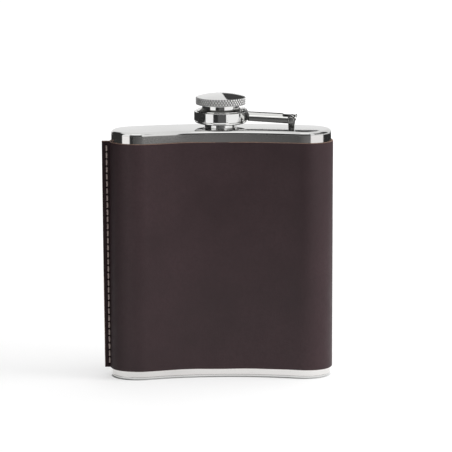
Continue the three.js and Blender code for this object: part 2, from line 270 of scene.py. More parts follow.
def smooth_noise(points, size, seed):
    """Smooth values from -1 to 1 at points in millimetres, from a few seeded waves about size long."""
    random = np.random.default_rng(seed)
    total = np.zeros(points.shape[:-1])
    for _ in range(9):
        direction = random.normal(size=3)
        direction *= 2 * math.pi / (size * random.uniform(0.7, 1.6)) / np.linalg.norm(direction)
        total += np.sin(points @ direction + random.uniform(0, 2 * math.pi))
    return total / 4.5


# ---- Materials ----
class Nodes:
    """A material's node tree, with short ways to add the nodes used here."""

    def __init__(self, name):
        self.material = bpy.data.materials.new(name)
        self.material.use_nodes = True
        self.tree = self.material.node_tree
        self.shader = next(n for n in self.tree.nodes if n.type == "BSDF_PRINCIPLED")
        self.place = self.add("ShaderNodeTexCoord").outputs["Object"]

    def add(self, kind, **settings):
        node = self.tree.nodes.new(kind)
        for key, value in settings.items():
            setattr(node, key, value)
        return node

    def link(self, source, target):
        self.tree.links.new(source, target)

    def feed(self, target, value):
        if isinstance(value, bpy.types.NodeSocket):
            self.link(value, target)
        else:
            target.default_value = value

    def stretched(self, scale):
        node = self.add("ShaderNodeMapping")
        self.link(self.place, node.inputs["Vector"])
        node.inputs["Scale"].default_value = scale
        return node.outputs["Vector"]

    def noise(self, scale, detail=3.0, rough=0.5, vector=None):
        node = self.add("ShaderNodeTexNoise")
        self.link(vector or self.place, node.inputs["Vector"])
        node.inputs["Scale"].default_value = scale
        node.inputs["Detail"].default_value = detail
        node.inputs["Roughness"].default_value = rough
        return node.outputs["Fac"]

    def cells(self, scale, feature):
        node = self.add("ShaderNodeTexVoronoi", feature=feature)
        self.link(self.place, node.inputs["Vector"])
        node.inputs["Scale"].default_value = scale
        return node.outputs["Distance"]

    def axes(self):
        """The X, Y and Z of a place on the object."""
        node = self.add("ShaderNodeSeparateXYZ")
        self.link(self.place, node.inputs[0])
        return node.outputs

    def marked(self, attribute):
        """A value that the mesh stores at its points."""
        return self.add("ShaderNodeAttribute", attribute_name=attribute).outputs["Fac"]

    def spread(self, value, low, high, to_low, to_high):
        node = self.add("ShaderNodeMapRange", clamp=True)
        names = ("Value", "From Min", "From Max", "To Min", "To Max")
        for name, item in zip(names, (value, low, high, to_low, to_high)):
            self.feed(node.inputs[name], item)
        return node.outputs["Result"]

    def math(self, operation, a, b=0.0):
        node = self.add("ShaderNodeMath", operation=operation)
        self.feed(node.inputs[0], a)
        self.feed(node.inputs[1], b)
        return node.outputs[0]

    def colours(self, value, stops):
        node = self.add("ShaderNodeValToRGB")
        self.link(value, node.inputs["Fac"])
        ramp = node.color_ramp
        while len(ramp.elements) < len(stops):
            ramp.elements.new(0.5)
        for element, (position, colour) in zip(ramp.elements, stops):
            element.position, element.color = position, (*colour, 1)
        return node.outputs["Color"]

    def mixed(self, share, a, b):
        node = self.add("ShaderNodeMix", data_type="RGBA")
        for socket, item in zip((node.inputs[0], node.inputs[6], node.inputs[7]), (share, a, b)):
            self.feed(socket, item)
        return node.outputs[2]

    def bump(self, height, depth, strength=1.0, before=None):
        node = self.add("ShaderNodeBump")
        node.inputs["Strength"].default_value = strength
        node.inputs["Distance"].default_value = depth * MM
        self.link(height, node.inputs["Height"])
        if before:
            self.link(before, node.inputs["Normal"])
        return node.outputs["Normal"]

    def set(self, **inputs):
        for name, value in inputs.items():
            self.feed(self.shader.inputs[name.replace("_", " ")], value)
        return self.material


def steel(name, tint, rough, lines=None, smudge=0.05, dents=0.0, shade_attribute=None, shine=1.0):
    """Polished stainless steel: cloudy buffing, hairlines, faint smudges, and painted shade where it is
    marked (the knurl's grooves).
    """
    n = Nodes(name)
    cloud = n.noise(90, 4, 0.6)
    smear = n.noise(35, 2, 0.5)
    hair = n.noise(220, 2, 0.7, n.stretched(lines or (6, 6, 6)))
    rough_low, rough_high = max(rough - smudge, 0.02), rough + smudge
    roughness = n.spread(n.math("ADD", n.math("MULTIPLY", cloud, 0.6), n.math("MULTIPLY", hair, 0.4)),
                         0.35, 0.65, rough_low, rough_high)
    pale, dull = tint, tuple(0.9 * c for c in tint)
    colour = n.colours(smear, [(0.3, dull), (0.6, pale)])
    normal = n.bump(hair, 0.004, 0.5)
    # Painted shade: the knurl's grooves turn near-black and rougher the deeper they are cut.
    if shade_attribute:
        depth = n.math("ADD", n.marked(shade_attribute), n.math("MULTIPLY", cloud, 0.15))
        groove_shade = n.spread(depth, *GROOVE_SHADE_DEPTHS, 0.0, 1.0)
        colour = n.mixed(groove_shade, colour, (*GROOVE_SHADE, 1))
        roughness = n.math("ADD", roughness, n.math("MULTIPLY", groove_shade, 0.3))
    if dents:
        normal = n.bump(cloud, dents, 0.6, normal)
    return n.set(Base_Color=colour, Metallic=shine, Roughness=roughness, Normal=normal)


def leather_material():
    """Smooth dark brown leather: pores, wrinkles and cloudy dye, with painted shade (darker, less shiny) on
    the seam side and painted shade in the stitch holes.
    """
    n = Nodes("dark_leather")
    pores = n.cells(2600, "F1")
    grain = n.cells(1500, "SMOOTH_F1")
    wrinkle = n.noise(420, 5, 0.62, n.stretched((1, 1, 0.55)))
    cloud = n.noise(38, 4, 0.55)
    fleck = n.noise(700, 2, 0.5)
    dye = n.colours(cloud, [(0.3, LEATHER_DARK), (0.5, LEATHER_MID), (0.72, LEATHER_LIGHT)])
    dye = n.mixed(n.spread(fleck, 0.42, 0.62, 0.0, 0.35), dye, (*LEATHER_DARK, 1))
    # Painted shade: darker dye and less sheen towards the seam end of the wrap.
    left_end_shade = n.spread(n.axes()["X"], SHADE_FROM_X, SHADE_TO_X, 0.5, 0.0)
    # Painted shade in the stitch holes, from the values the sheet stores.
    hole_shade = n.spread(n.marked("hole_shade"), 0.2, 0.5, 0.0, 0.9)
    dye = n.mixed(n.math("MAXIMUM", left_end_shade, hole_shade), dye, (*HOLE_SHADE_COLOUR, 1))
    height = n.math("ADD", n.math("MULTIPLY", grain, 0.7), n.math("MULTIPLY", wrinkle, 0.9))
    height = n.math("ADD", height, n.math("MULTIPLY", n.spread(pores, 0.0, 0.16, 0.0, 1.0), 0.35))
    roughness = n.spread(n.math("ADD", n.math("MULTIPLY", cloud, 0.5), n.math("MULTIPLY", wrinkle, 0.5)),
                         0.35, 0.65, 0.46, 0.6)
    return n.set(Base_Color=dye, Roughness=roughness, Normal=n.bump(height, 0.05, 0.55),
                 Specular_IOR_Level=n.spread(left_end_shade, 0.0, 0.5, 0.35, 0.12))


def cut_edge_material():
    """The leather's cut edges: browner, paler, fibrous and matt."""
    n = Nodes("leather_cut_edge")
    fibre = n.noise(900, 4, 0.7)
    colour = n.colours(fibre, [(0.3, (0.09, 0.05, 0.036)), (0.7, (0.3, 0.19, 0.14))])
    return n.set(Base_Color=colour, Roughness=n.spread(fibre, 0.3, 0.7, 0.6, 0.85),
                 Normal=n.bump(fibre, 0.06, 0.8))


def thread_material():
    """Waxed, twisted sewing thread."""
    n = Nodes("waxed_thread")
    fibre = n.noise(3500, 3, 0.6)
    shade = n.noise(160, 2, 0.5)
    colour = n.colours(n.math("ADD", n.math("MULTIPLY", fibre, 0.5), n.math("MULTIPLY", shade, 0.5)),
                       [(0.35, THREAD_DARK), (0.65, THREAD_LIGHT)])
    return n.set(Base_Color=colour, Roughness=n.spread(fibre, 0.3, 0.7, 0.55, 0.8),
                 Normal=n.bump(fibre, 0.02, 0.6), Sheen_Weight=0.15)


def seal_material():
    """The soft sealing disc."""
    n = Nodes("soft_seal")
    speck = n.noise(500, 3, 0.6)
    colour = n.colours(speck, [(0.3, (0.72, 0.7, 0.64)), (0.7, (0.86, 0.85, 0.8))])
    return n.set(Base_Color=colour, Roughness=n.spread(speck, 0.3, 0.7, 0.5, 0.65),
                 Normal=n.bump(speck, 0.01, 0.4))


# Painted shade colour for the knurl's grooves.
GROOVE_SHADE = (0.03, 0.028, 0.027)
GROOVE_SHADE_DEPTHS = (0.64, 0.71)  # shares of a groove's depth between which the painted groove shade begins
SHADE_FROM_X, SHADE_TO_X = -0.049, -0.04  # X in metres: painted shade darkens the leather towards the seam
# Painted shade colour for the stitch holes.
HOLE_SHADE_COLOUR = (0.003, 0.002, 0.002)
LEATHER_DARK = (0.023, 0.0098, 0.012)
LEATHER_MID = (0.029, 0.013, 0.0158)
LEATHER_LIGHT = (0.035, 0.0165, 0.0198)
THREAD_DARK = (0.2, 0.15, 0.14)
THREAD_LIGHT = (0.42, 0.34, 0.31)

SHELL_STEEL = steel("shell_steel", (0.775, 0.76, 0.745), 0.1, (40, 40, 1.2), smudge=0.03)
PLATE_STEEL = steel("plate_steel", (0.73, 0.73, 0.72), 0.06, smudge=0.03)
CAP_STEEL = steel("cap_steel", (0.82, 0.82, 0.81), 0.06, (1, 1, 30), smudge=0.03)
# The knurl's grooves get painted shade from their stored depth.
KNURL_STEEL = steel("knurl_steel", (0.97, 0.97, 0.96), 0.2, smudge=0.05, shade_attribute="groove", shine=0.25)
ARM_STEEL = steel("arm_steel", (0.83, 0.83, 0.81), 0.09, smudge=0.04, dents=0.006)
# Painted shade: a near-black steel for undersides and insides that lie in shade.
SHADE_STEEL = steel("painted_shade_steel", (0.13, 0.13, 0.125), 0.4, smudge=0.1, dents=0.02)
LEATHER = leather_material()
CUT_EDGE = cut_edge_material()
THREAD = thread_material()
SEAL = seal_material()


# ---- Body shell, foot and shoulder ----
HAIRLINE = 0.06  # the rounding of edges that meet at a joint
FOOT_TOP = cad_top("bottom_plate")
FOOT_EDGE = 0.8
SHOULDER_Z = SHELL_HIGH.z
RIM_RADIUS = 1.5
RIM_SWEEP = 86  # degrees of the rim's arc before the crown takes over
PLATE_TOP = SHOULDER_Z + RIM_RADIUS + 0.25
RIDGE_HALF = 0.35  # half of the flat strip along the middle of the crown
NECK_COLLAR = 7.05


def body_shell():
    """The side wall: a tube with hairline edges where the end plates are welded on."""
    low, high = SHELL_LOW.z, SHELL_HIGH.z
    levels = [(-SHEET, low), (-HAIRLINE, low), (0, low + HAIRLINE)]
    levels += [(0, high - HAIRLINE), (-HAIRLINE, high), (-SHEET, high)]
    return stacked("shell_wall", levels, closed=True)


def foot_plate():
    """The foot: a rounded edge, a standing rim and a slightly hollowed middle."""
    levels = [(-SHEET, FOOT_TOP), (-HAIRLINE, FOOT_TOP), (0, FOOT_TOP - HAIRLINE)]
    turn = np.radians(np.linspace(0, 90, 8))
    levels += [(-FOOT_EDGE + FOOT_EDGE * math.cos(a), FOOT_EDGE - FOOT_EDGE * math.sin(a)) for a in turn]
    levels += [(-2.6, 0), (-3.0, 0.05), (-3.4, 0.2), (-3.8, 0.35), (-4.2, 0.4), (-7, 0.42), (-10.6, 0.43)]
    return stacked("foot_plate_pressed", levels)


def shoulder_plate():
    """The shoulder: a rounded rim, then a low crown up to the neck, with the neck's hole through it."""
    sweep = np.radians(np.linspace(0, RIM_SWEEP, 12))
    outside = [(-RIM_RADIUS + RIM_RADIUS * math.cos(a), SHOULDER_Z + RIM_RADIUS * math.sin(a)) for a in sweep]
    rim_end, rim_top = outside[-1]
    for share in np.linspace(0, 1, 14)[1:]:
        grow = rim_end - share * (BODY_HALF_DEPTH + rim_end - RIDGE_HALF)
        outside.append((grow, rim_top + (PLATE_TOP - rim_top) * (1 - (1 - share) ** 2)))
    narrowest = RIDGE_HALF - 0.1 - BODY_HALF_DEPTH
    inside = [(max(grow - SHEET, narrowest), z - SHEET) for grow, z in outside if z - SHEET > SHOULDER_Z]
    levels = [(-SHEET, SHOULDER_Z), (-HAIRLINE, SHOULDER_Z), (0, SHOULDER_Z + HAIRLINE)] + outside[1:]
    plate = stacked("shoulder_plate_pressed", levels)
    hollow = stacked("hollow", [(-SHEET, SHOULDER_Z - 1), (-SHEET, SHOULDER_Z + 0.1)] + inside)
    plate = combined(plate, hollow, "DIFFERENCE")
    hole = prism("hole", arc(0, 0, NECK_COLLAR - 0.05, 0, 360, 96), SHOULDER_Z - 2, PLATE_TOP + 2, "z")
    return combined(plate, hole, "DIFFERENCE")


# ---- Neck and cap ----
THREAD_PITCH = 1.6
NECK_TOP = cad_top("neck")
NECK_BORE = 5.4
NECK_ROOT = 6.35
MALE_CREST = 0.62
DRUM_LOW, DRUM_R = cad_bottom("cap_body"), cad_radius("cap_body")
DRUM_HIGH = 114.25
HUB_R = 7.9
HUB_TOP = cad_top("cap_body")
HEAD_R, HEAD_HIGH = cad_radius("cap_knob"), 120.0
DOME_TOP = cad_top("cap_knob")


def screw(base, crest, low, high):
    """Relief of a rolled screw thread on the part of a profile near radius base, between two heights."""
    def relief(angle, radius, height):
        turn = (height - low) / THREAD_PITCH - angle / (2 * math.pi)
        wave = np.cos(2 * math.pi * turn) * 0.5 + 0.5
        fade = np.clip((height - low) / 0.5, 0, 1) * np.clip((high - height) / 0.5, 0, 1)
        near = np.abs(radius - base) < 0.02
        return near * fade * crest * wave**1.5
    return relief


def neck():
    """The spout: a flange inside, a collar, a rolled thread and a rounded lip."""
    flange_low = cad_bottom("neck")
    collar_top = DRUM_LOW
    profile = filleted([
        (NECK_BORE, flange_low + 1, 0), (NECK_BORE, flange_low, 0.15), (cad_radius("neck"), flange_low, 0.15),
        (cad_radius("neck"), flange_low + 0.6, 0.15), (NECK_COLLAR, flange_low + 0.6, 0.1),
        (NECK_COLLAR, collar_top, 0.15), (NECK_ROOT, collar_top + 0.35, 0.15), (NECK_ROOT, NECK_TOP, 0.35),
        (NECK_BORE, NECK_TOP, 0.3), (NECK_BORE, flange_low + 1, 0),
    ])
    relief = screw(NECK_ROOT, MALE_CREST, collar_top + 0.6, NECK_TOP - 1.2)
    return turned("threaded_spout", refined(profile, 0.14), 128, relief)


def spout_weld():
    """The fine polished fillet between the collar and the shoulder."""
    foot, size = PLATE_TOP, 0.22
    buried, inner, outer = foot - 0.4, NECK_COLLAR - 0.1, NECK_COLLAR + size
    profile = filleted([
        (inner, buried, 0), (inner, foot + size, 0), (NECK_COLLAR + 0.01, foot + size, 0),
        (NECK_COLLAR + 0.03, foot + 0.03, 0.15), (outer, foot + 0.005, 0), (outer, buried, 0),
        (inner, buried, 0),
    ])
    return turned("spout_weld_fillet", profile, 128)


def cap_drum():
    """The drum and its hub, with a threaded blind bore."""
    bore_top, bore = HUB_TOP - 1.7, 6.9
    thread_bore = 7.35
    profile = filleted([
        (0, bore_top, 0), (bore, bore_top, 0.3), (bore, DRUM_HIGH - 0.1, 0.1),
        (thread_bore, DRUM_HIGH - 0.4, 0.1), (thread_bore, DRUM_LOW + 0.5, 0.1),
        (thread_bore + 0.5, DRUM_LOW, 0.12), (DRUM_R - 0.95, DRUM_LOW, 0.1),
        (DRUM_R - 0.35, DRUM_LOW + 0.38, 0.25), (DRUM_R - 0.42, DRUM_LOW + 0.72, 0.05),
        (DRUM_R - 0.3, DRUM_LOW + 0.8, 0.05), (DRUM_R, DRUM_LOW + 1.25, 0.3), (DRUM_R, DRUM_HIGH, 0.15),
        (HUB_R, DRUM_HIGH, 0.3), (HUB_R, HUB_TOP, 0.05), (0, HUB_TOP, 0),
    ])
    relief = screw(thread_bore, 0.5, DRUM_LOW + 0.6, DRUM_HIGH - 0.5)
    return turned("cap_drum_turned", refined(profile, 0.16), 144, relief)


KNURL_COUNT = 54
KNURL_DEPTH = 0.24
KNURL_LEAN = math.radians(36)
KNURL_LOW, KNURL_HIGH = HUB_TOP + 0.1, HEAD_HIGH + 0.32
KNURL_BAND = 0.5  # how far inwards from the side it may reach


def knurl_cut(angle, height):
    """How deep the knurl is cut at a place on the head's side: 0 on a pyramid's tip, 1 in a groove."""
    lean = math.tan(KNURL_LEAN) / HEAD_R
    waves = []
    for side in (-1, 1):
        phase = (angle + side * lean * (height - HUB_TOP)) * KNURL_COUNT / (2 * math.pi)
        waves.append(1 - np.abs(2 * (phase % 1) - 1))
    return 1 - np.minimum(*waves)


def knurl(angle, radius, height):
    """Relief of the knurl on the head's side and a little way on to its edges."""
    fade = np.clip((height - KNURL_LOW) / 0.12, 0, 1) * np.clip((KNURL_HIGH - height) / 0.15, 0, 1)
    return -KNURL_DEPTH * fade * knurl_cut(angle, height) * (radius > HEAD_R - KNURL_BAND)


def cap_head():
    """The knurled head: a narrow edge, a low polished dome and a stud below."""
    edge_in, edge_up = 0.3, 0.28
    stud_low = cad_bottom("cap_knob")
    edge = filleted([
        (0, stud_low, 0), (3, stud_low, 0.1), (3, HUB_TOP, 0.05), (HEAD_R - 0.2, HUB_TOP, 0.03),
        (HEAD_R, HUB_TOP + 0.2, 0.05), (HEAD_R, HEAD_HIGH, 0.1), (HEAD_R - edge_in, HEAD_HIGH + edge_up, 0.1),
        (HEAD_R - edge_in - 0.3, HEAD_HIGH + edge_up + 0.08, 0),
    ])
    start = edge[-1]
    rise = DOME_TOP - start[1]
    shares = np.linspace(0, 1, 26)[1:]
    dome = np.stack([start[0] * (1 - shares), start[1] + rise * (1 - (1 - shares) ** 2)], 1)
    side = edge[edge[:, 1] > KNURL_LOW]
    under = edge[edge[:, 1] <= KNURL_LOW]
    profile = np.vstack([under, refined(side, 0.075), dome])
    head = turned("knurled_head", profile, KNURL_COUNT * 10, knurl, sharp=60)
    mark_grooves(head)
    for material in (CAP_STEEL, SHADE_STEEL, KNURL_STEEL):
        head.data.materials.append(material)
    for face in head.data.polygons:
        x, y, z = face.center / MM
        knurled = KNURL_LOW + 0.05 < z < KNURL_HIGH - 0.07 and math.hypot(x, y) > HEAD_R - 0.4
        # The head's underside gets the near-black painted-shade steel.
        underneath = face.normal.z < -0.7
        face.material_index = 2 if knurled else int(underneath)
    return head


def mark_grooves(head):
    """Stores how deep each point of the knurl lies, for the painted shade in its grooves."""
    groove = head.data.attributes.new("groove", "FLOAT", "POINT")
    for point, value in zip(head.data.vertices, groove.data):
        x, y, z = point.co / MM
        if KNURL_LOW + 0.05 < z < KNURL_HIGH - 0.02 and math.hypot(x, y) > HEAD_R - KNURL_BAND:
            value.value = float(knurl_cut(math.atan2(y, x), z))


def gasket():
    """A soft disc with the ring that the neck's lip has pressed into it."""
    low, high = cad_bottom("cap_gasket"), cad_top("cap_gasket")
    radius = cad_radius("cap_gasket")
    profile = filleted([
        (0, low + 0.1, 0), (4.9, low + 0.1, 0.3), (5.2, low + 0.2, 0.2), (6.0, low + 0.2, 0.2),
        (6.25, low, 0.1), (radius, low, 0.15), (radius, high, 0.15), (0, high, 0),
    ])
    return turned("sealing_disc", profile, 72)


# ---- Arm, lug and pin, drawn with X from the neck towards the pin ----
ARM_HALF = 3.0
ARM_SHEET = 0.6
ARM_START = 11.2  # where the walls of the channel begin, beside the drum
ARM_CREST = 114.1
ARM_WALL = 1.3
ARM_DEEPENS = 0.016  # how much the walls grow with each millimetre towards the hinge
ARM_ARCH = 2.35
ARM_SLOPE = 0.7 / 18.6
ARM_END = ARM_LENGTH + 2.2
CHEEK_R = 1.75
EYE_R = 10.35
EYE_TOP = cad_top("arm")
EYE_EDGE = 0.45  # the eye's thickness at its outer edge, where its top slopes down
TONGUE = 0.75
FLARE_R = 3.0
SLOT_LENGTH = 3.8
SLOT_NEAR, SLOT_FAR = -2.6, 2.1  # the slot reaches further down the side of the hollow face
OPEN_HALF = 2.2
END_STRIP = 0.35  # what the slot leaves at the arm's end
PIN_R = 0.9
LUG_WIDTH = 4.0
LUG_HALF = 1.3
LUG_TOP_R = 1.6
RUNNING_GAP = 0.3


def in_hinge_frame(piece):
    """Turns a piece from the arm's own direction to its place over the curved body."""
    piece.data.transform(Matrix.Rotation(HINGE_TURN, 4, "Z"))
    return piece


def eased(value, start, end):
    """0 before start, 1 after end, and a smooth rise between them."""
    share = min(max((value - start) / (end - start), 0), 1)
    return share * share * (3 - 2 * share)


def arm_station(x):
    """The arm's section at x, a closed line of (y, z): outside from foot to foot, then back inside."""
    flare_x = math.sqrt((EYE_R + FLARE_R) ** 2 - (ARM_HALF + FLARE_R) ** 2)
    lean = min(max(flare_x - x, 0), FLARE_R)
    half = ARM_HALF + FLARE_R - math.sqrt(FLARE_R**2 - lean**2)
    down = eased(x, 9.9, 12.3)
    crest = EYE_TOP + (ARM_CREST - EYE_TOP) * down - ARM_SLOPE * max(x - ARM_START, 0)
    arch = 0.1 + (ARM_ARCH - 0.1) * eased(x, ARM_START - 0.6, ARM_START + 0.7)
    wall = TONGUE - 0.1 + (ARM_WALL - TONGUE + 0.1) * eased(x, ARM_START - 0.03, ARM_START + 0.1)
    wall += ARM_DEEPENS * max(x - ARM_START, 0)
    foot = crest - arch - wall
    turn = np.linspace(0, math.pi, 33)
    outside = np.stack([-half * np.cos(turn), crest - arch + arch * np.sin(turn)], 1)
    low_arch = max(arch - ARM_SHEET, 0.02)
    spring = crest - ARM_SHEET - low_arch
    inside = np.stack([-(half - ARM_SHEET) * np.cos(turn), spring + low_arch * np.sin(turn)], 1)
    hollow_foot = foot if spring > foot + 0.2 else spring - 0.05
    left = [(-half, foot)]
    right = [(half, foot), (half - ARM_SHEET, hollow_foot)]
    return np.vstack([left, outside, right, inside[::-1], [(-half + ARM_SHEET, hollow_foot)]])


def arm_loft():
    """The arm before it is cut: a flat tongue that becomes an arched channel."""
    stations = np.concatenate([
        np.linspace(8.6, ARM_START - 0.04, 22), np.linspace(ARM_START - 0.02, ARM_START + 0.12, 6),
        np.linspace(ARM_START + 0.2, 13.4, 20), np.linspace(13.9, ARM_END + 1, 38)])
    rings = [np.insert(arm_station(x), 0, x, axis=1) for x in stations]
    return make("captive_arm_stamped", np.vstack(rings), loft_faces(len(rings), len(rings[0])))


def arm_end_outline():
    """Side outline that the arm's far end is trimmed to: square above, round about the pin below."""
    foot = ARM_CREST - ARM_ARCH - ARM_WALL
    pin = ARM_LENGTH
    top = ARM_CREST - ARM_SLOPE * (pin - ARM_START)

    def wall_foot(x):
        return foot - (ARM_SLOPE + ARM_DEEPENS) * (x - ARM_START) - 0.05

    return np.vstack([
        [(0, foot - 3), (pin - 6, foot - 3), (pin - 5, wall_foot(pin - 5))],
        filleted([(pin - 4, wall_foot(pin - 4), 0), (pin - 1.75, wall_foot(pin - 2), 0.8),
                  (pin - 1.0, HINGE.z - 1.45, 0)]),
        arc(pin, HINGE.z, CHEEK_R, -118, 0, 20),
        filleted([(pin + CHEEK_R, HINGE.z + 0.1, 0), (ARM_END, HINGE.z + 0.8, 0.6),
                  (ARM_END, top - 0.1, 0.35), (ARM_END - 1.2, top + 0.4, 0)]),
        [(0, EYE_TOP + 2)],
    ])


def captive_arm():
    """The stamped arm: eye, step, arched channel, slot at the hinge and two cheeks."""
    arm = arm_loft()
    cheeks = prism("cheeks", arc(ARM_LENGTH, HINGE.z, CHEEK_R, 0, 360, 48), -ARM_HALF, ARM_HALF)
    arm = combined(arm, cheeks, "UNION")
    arm = combined(arm, prism("trim", arm_end_outline(), -20, 20), "INTERSECT")
    slot_start = ARM_LENGTH - SLOT_LENGTH
    slot_end = ARM_END - END_STRIP
    slot_line = filleted([
        (ARM_LENGTH, SLOT_FAR, 0), (slot_start, SLOT_FAR, 0.6), (slot_start, SLOT_NEAR, 0.6),
        (slot_end, SLOT_NEAR, 0.4), (slot_end, SLOT_FAR, 0.4), (ARM_LENGTH, SLOT_FAR, 0)])[:-1]
    arm = combined(arm, prism("slot", slot_line, HINGE.z + 0.5, ARM_CREST + 2, "z"), "DIFFERENCE")
    open_end = filleted([
        (ARM_LENGTH + 5, OPEN_HALF, 0), (slot_start, OPEN_HALF, 0.6), (slot_start, -OPEN_HALF, 0.6),
        (ARM_LENGTH + 5, -OPEN_HALF, 0)])
    arm = combined(arm, prism("open_end", open_end, HINGE.z - 4, HINGE.z + 1.1, "z"), "DIFFERENCE")
    arm = combined(arm, eye_ring(), "UNION")
    hub_hole = prism("hub_hole", arc(0, 0, HUB_R + RUNNING_GAP, 0, 360, 96), EYE_TOP - 3, EYE_TOP + 2, "z")
    arm = combined(arm, hub_hole, "DIFFERENCE")
    arm = combined(arm, bar("pin_hole", PIN_R + 0.12, ARM_LENGTH, HINGE.z, 12), "DIFFERENCE")
    arm = in_hinge_frame(bevelled(arm, 0.08, 2, 40))
    darken_inside(arm)
    return arm


def eye_ring():
    """The eye: a washer whose top slopes down to a rounded edge."""
    low, top = DRUM_HIGH + 0.07, EYE_TOP
    profile = filleted([
        (HUB_R, low, 0), (EYE_R, low, 0.15), (EYE_R, low + EYE_EDGE, 0.2), (HUB_R + RUNNING_GAP, top, 0.1),
        (HUB_R, top, 0), (HUB_R, low, 0)])
    return turned("eye", profile, 144)


def darken_inside(arm):
    """Gives the inside of the arm's channel, and the step beside the drum, the near-black painted-shade
    steel.
    """
    arm.data.materials.clear()
    arm.data.materials.append(ARM_STEEL)
    arm.data.materials.append(SHADE_STEEL)
    axis = Vector((math.cos(HINGE_TURN), math.sin(HINGE_TURN), 0))
    aside = Vector((-axis.y, axis.x, 0))
    for face in arm.data.polygons:
        centre = face.center / MM
        along, across = centre.dot(axis), centre.dot(aside)
        step = EYE_R - 0.4 < along < ARM_START + 1.2 and face.normal.z < 0.8
        inwards = face.normal.dot(aside) * across < -0.1 or face.normal.z < -0.3
        in_channel = along > EYE_R + 0.5 and abs(across) < ARM_HALF - 0.5 * ARM_SHEET
        if step or (inwards and in_channel):
            face.material_index = 1


def hinge_lug():
    """The post on the shoulder: straight sides and a round top about the pin."""
    foot_z = PLATE_TOP - 0.15
    outline = np.vstack([
        [(ARM_LENGTH - LUG_HALF, foot_z), (ARM_LENGTH + LUG_HALF, foot_z)],
        arc(ARM_LENGTH, HINGE.z, LUG_TOP_R, -35, 215, 30),
    ])
    lug = prism("hinge_lug_post", outline, -LUG_WIDTH / 2, LUG_WIDTH / 2)
    lug = combined(lug, bar("lug_hole", PIN_R + 0.05, ARM_LENGTH, HINGE.z, 12), "DIFFERENCE")
    return in_hinge_frame(bevelled(lug, 0.12))


def hinge_pin():
    """A rivet with a thin flat head on each side."""
    reach = ARM_HALF + 0.08
    head, thick = 1.2, 0.2
    side = filleted([(PIN_R, 0, 0), (PIN_R, reach, 0.05), (head, reach, 0.05), (head, reach + thick, 0.12),
                     (0, reach + thick + 0.03, 0)])
    profile = np.vstack([side[::-1] * [1, -1], side[1:]])
    pin = turned("hinge_rivet", profile, 48)
    pin.data.transform(Matrix.Rotation(math.pi / 2, 4, "X"))
    pin.data.transform(Matrix.Translation(Vector((ARM_LENGTH, 0, HINGE.z)) * MM))
    return in_hinge_frame(pin)


# ---- Leather wrap: one sheet round the body, its ends sewn face to face ----
LEATHER_THICK = 0.84
LEATHER_BOTTOM, LEATHER_TOP = WRAP_LOW.z, WRAP_HIGH.z
GLUE = 0.06
FOLD_RADIUS = 0.62
FIN_TOP_X = WRAP_LOW.x
FIN_BOTTOM_X = WRAP_LOW.x + 1.0
SEAM_INSET = 2.3
STITCHES = 31
SEAM_MARGIN = 1.7
SEAM_LOW = LEATHER_BOTTOM + SEAM_MARGIN
STITCH_PITCH = (LEATHER_TOP - LEATHER_BOTTOM - 2 * SEAM_MARGIN) / STITCHES
HOLE_REACH = 0.45  # how far round a hole the painted hole shade reaches
CUT_WAVE = 0.12  # how uneven the cut is; the sheet is drawn back by as much to stay inside its height
EDGE_BAND = 12  # height over which the uneven cut fades into the sheet
FACE_ROWS = 396
PLY_GAP = 0.03
THREAD_DEEP = 0.2  # from the fin's middle plane to the thread's centre in a hole
THREAD_PROUD = 0.08  # the same, over a stitch, past the leather's face
THREAD_RADIUS = 0.34
TWIST_LENGTH = 2.1
SEAM_SUNK = 0.1  # how far the seam, and the leather at a stitch hole, is pulled in
HOLE_SUNK = 0.42


def fin_line_x(z):
    """X of the straight line, leaning a little, that the fin's edge and its seam follow."""
    share = (z - LEATHER_BOTTOM) / (LEATHER_TOP - LEATHER_BOTTOM)
    return FIN_BOTTOM_X + (FIN_TOP_X - FIN_BOTTOM_X) * share


def fin_edge_x(z):
    """X of the fin's free edge, which isn't quite straight."""
    return fin_line_x(z) + 0.05 * np.sin(z / 9.0) * np.sin(z / 23.0)


def seam_x(z):
    return fin_line_x(z) + SEAM_INSET


def wrap_path():
    """The sheet's middle line seen from above: x, y, outward normal, and how far along the fin a point is."""
    middle = BODY_HALF_DEPTH + GLUE + LEATHER_THICK / 2
    ply = LEATHER_THICK / 2 + PLY_GAP
    root_x = -END_X - math.sqrt((middle + FOLD_RADIUS) ** 2 - (ply + FOLD_RADIUS) ** 2)
    meet = math.degrees(math.atan2(ply + FOLD_RADIUS, -END_X - root_x))
    degrees = math.degrees(END_ANGLE)
    rows = []

    def add(points, normals, share=1.0):
        shares = np.broadcast_to(share, len(points))
        rows.append(np.column_stack([points, normals, shares]))

    def add_arc(x, y, radius, start, end, steps, outwards):
        points = arc(x, y, radius, start, end, steps)
        add(points, (points - [x, y]) / radius * outwards)

    def add_fin(side, shares):
        count = len(shares)
        flat = np.column_stack([np.full(count, root_x), np.full(count, END_Y + side * ply)])
        add(flat, np.tile([0, float(side)], (count, 1)), shares)

    fin = np.linspace(0, 1, 14)[:-1]
    add_fin(-1, fin)
    add_arc(root_x, END_Y - ply - FOLD_RADIUS, FOLD_RADIUS, 90, meet, 6, -1)
    add_arc(-END_X, END_Y, middle, 180 + meet, 270 + degrees, 44, 1)
    add_arc(0, -BODY_CURVE, BODY_CURVE - middle, 90 + degrees, 90 - degrees, 70, -1)
    add_arc(END_X, END_Y, middle, 270 - degrees, 450 - degrees, 72, 1)
    add_arc(0, -BODY_CURVE, BODY_CURVE + middle, 90 - degrees, 90 + degrees, 74, 1)
    add_arc(-END_X, END_Y, middle, 90 + degrees, 180 - meet, 24, 1)
    add_arc(root_x, END_Y + ply + FOLD_RADIUS, FOLD_RADIUS, -meet, -90, 6, -1)
    add_fin(1, np.append(1.0, fin[::-1]))
    return np.vstack(rows)


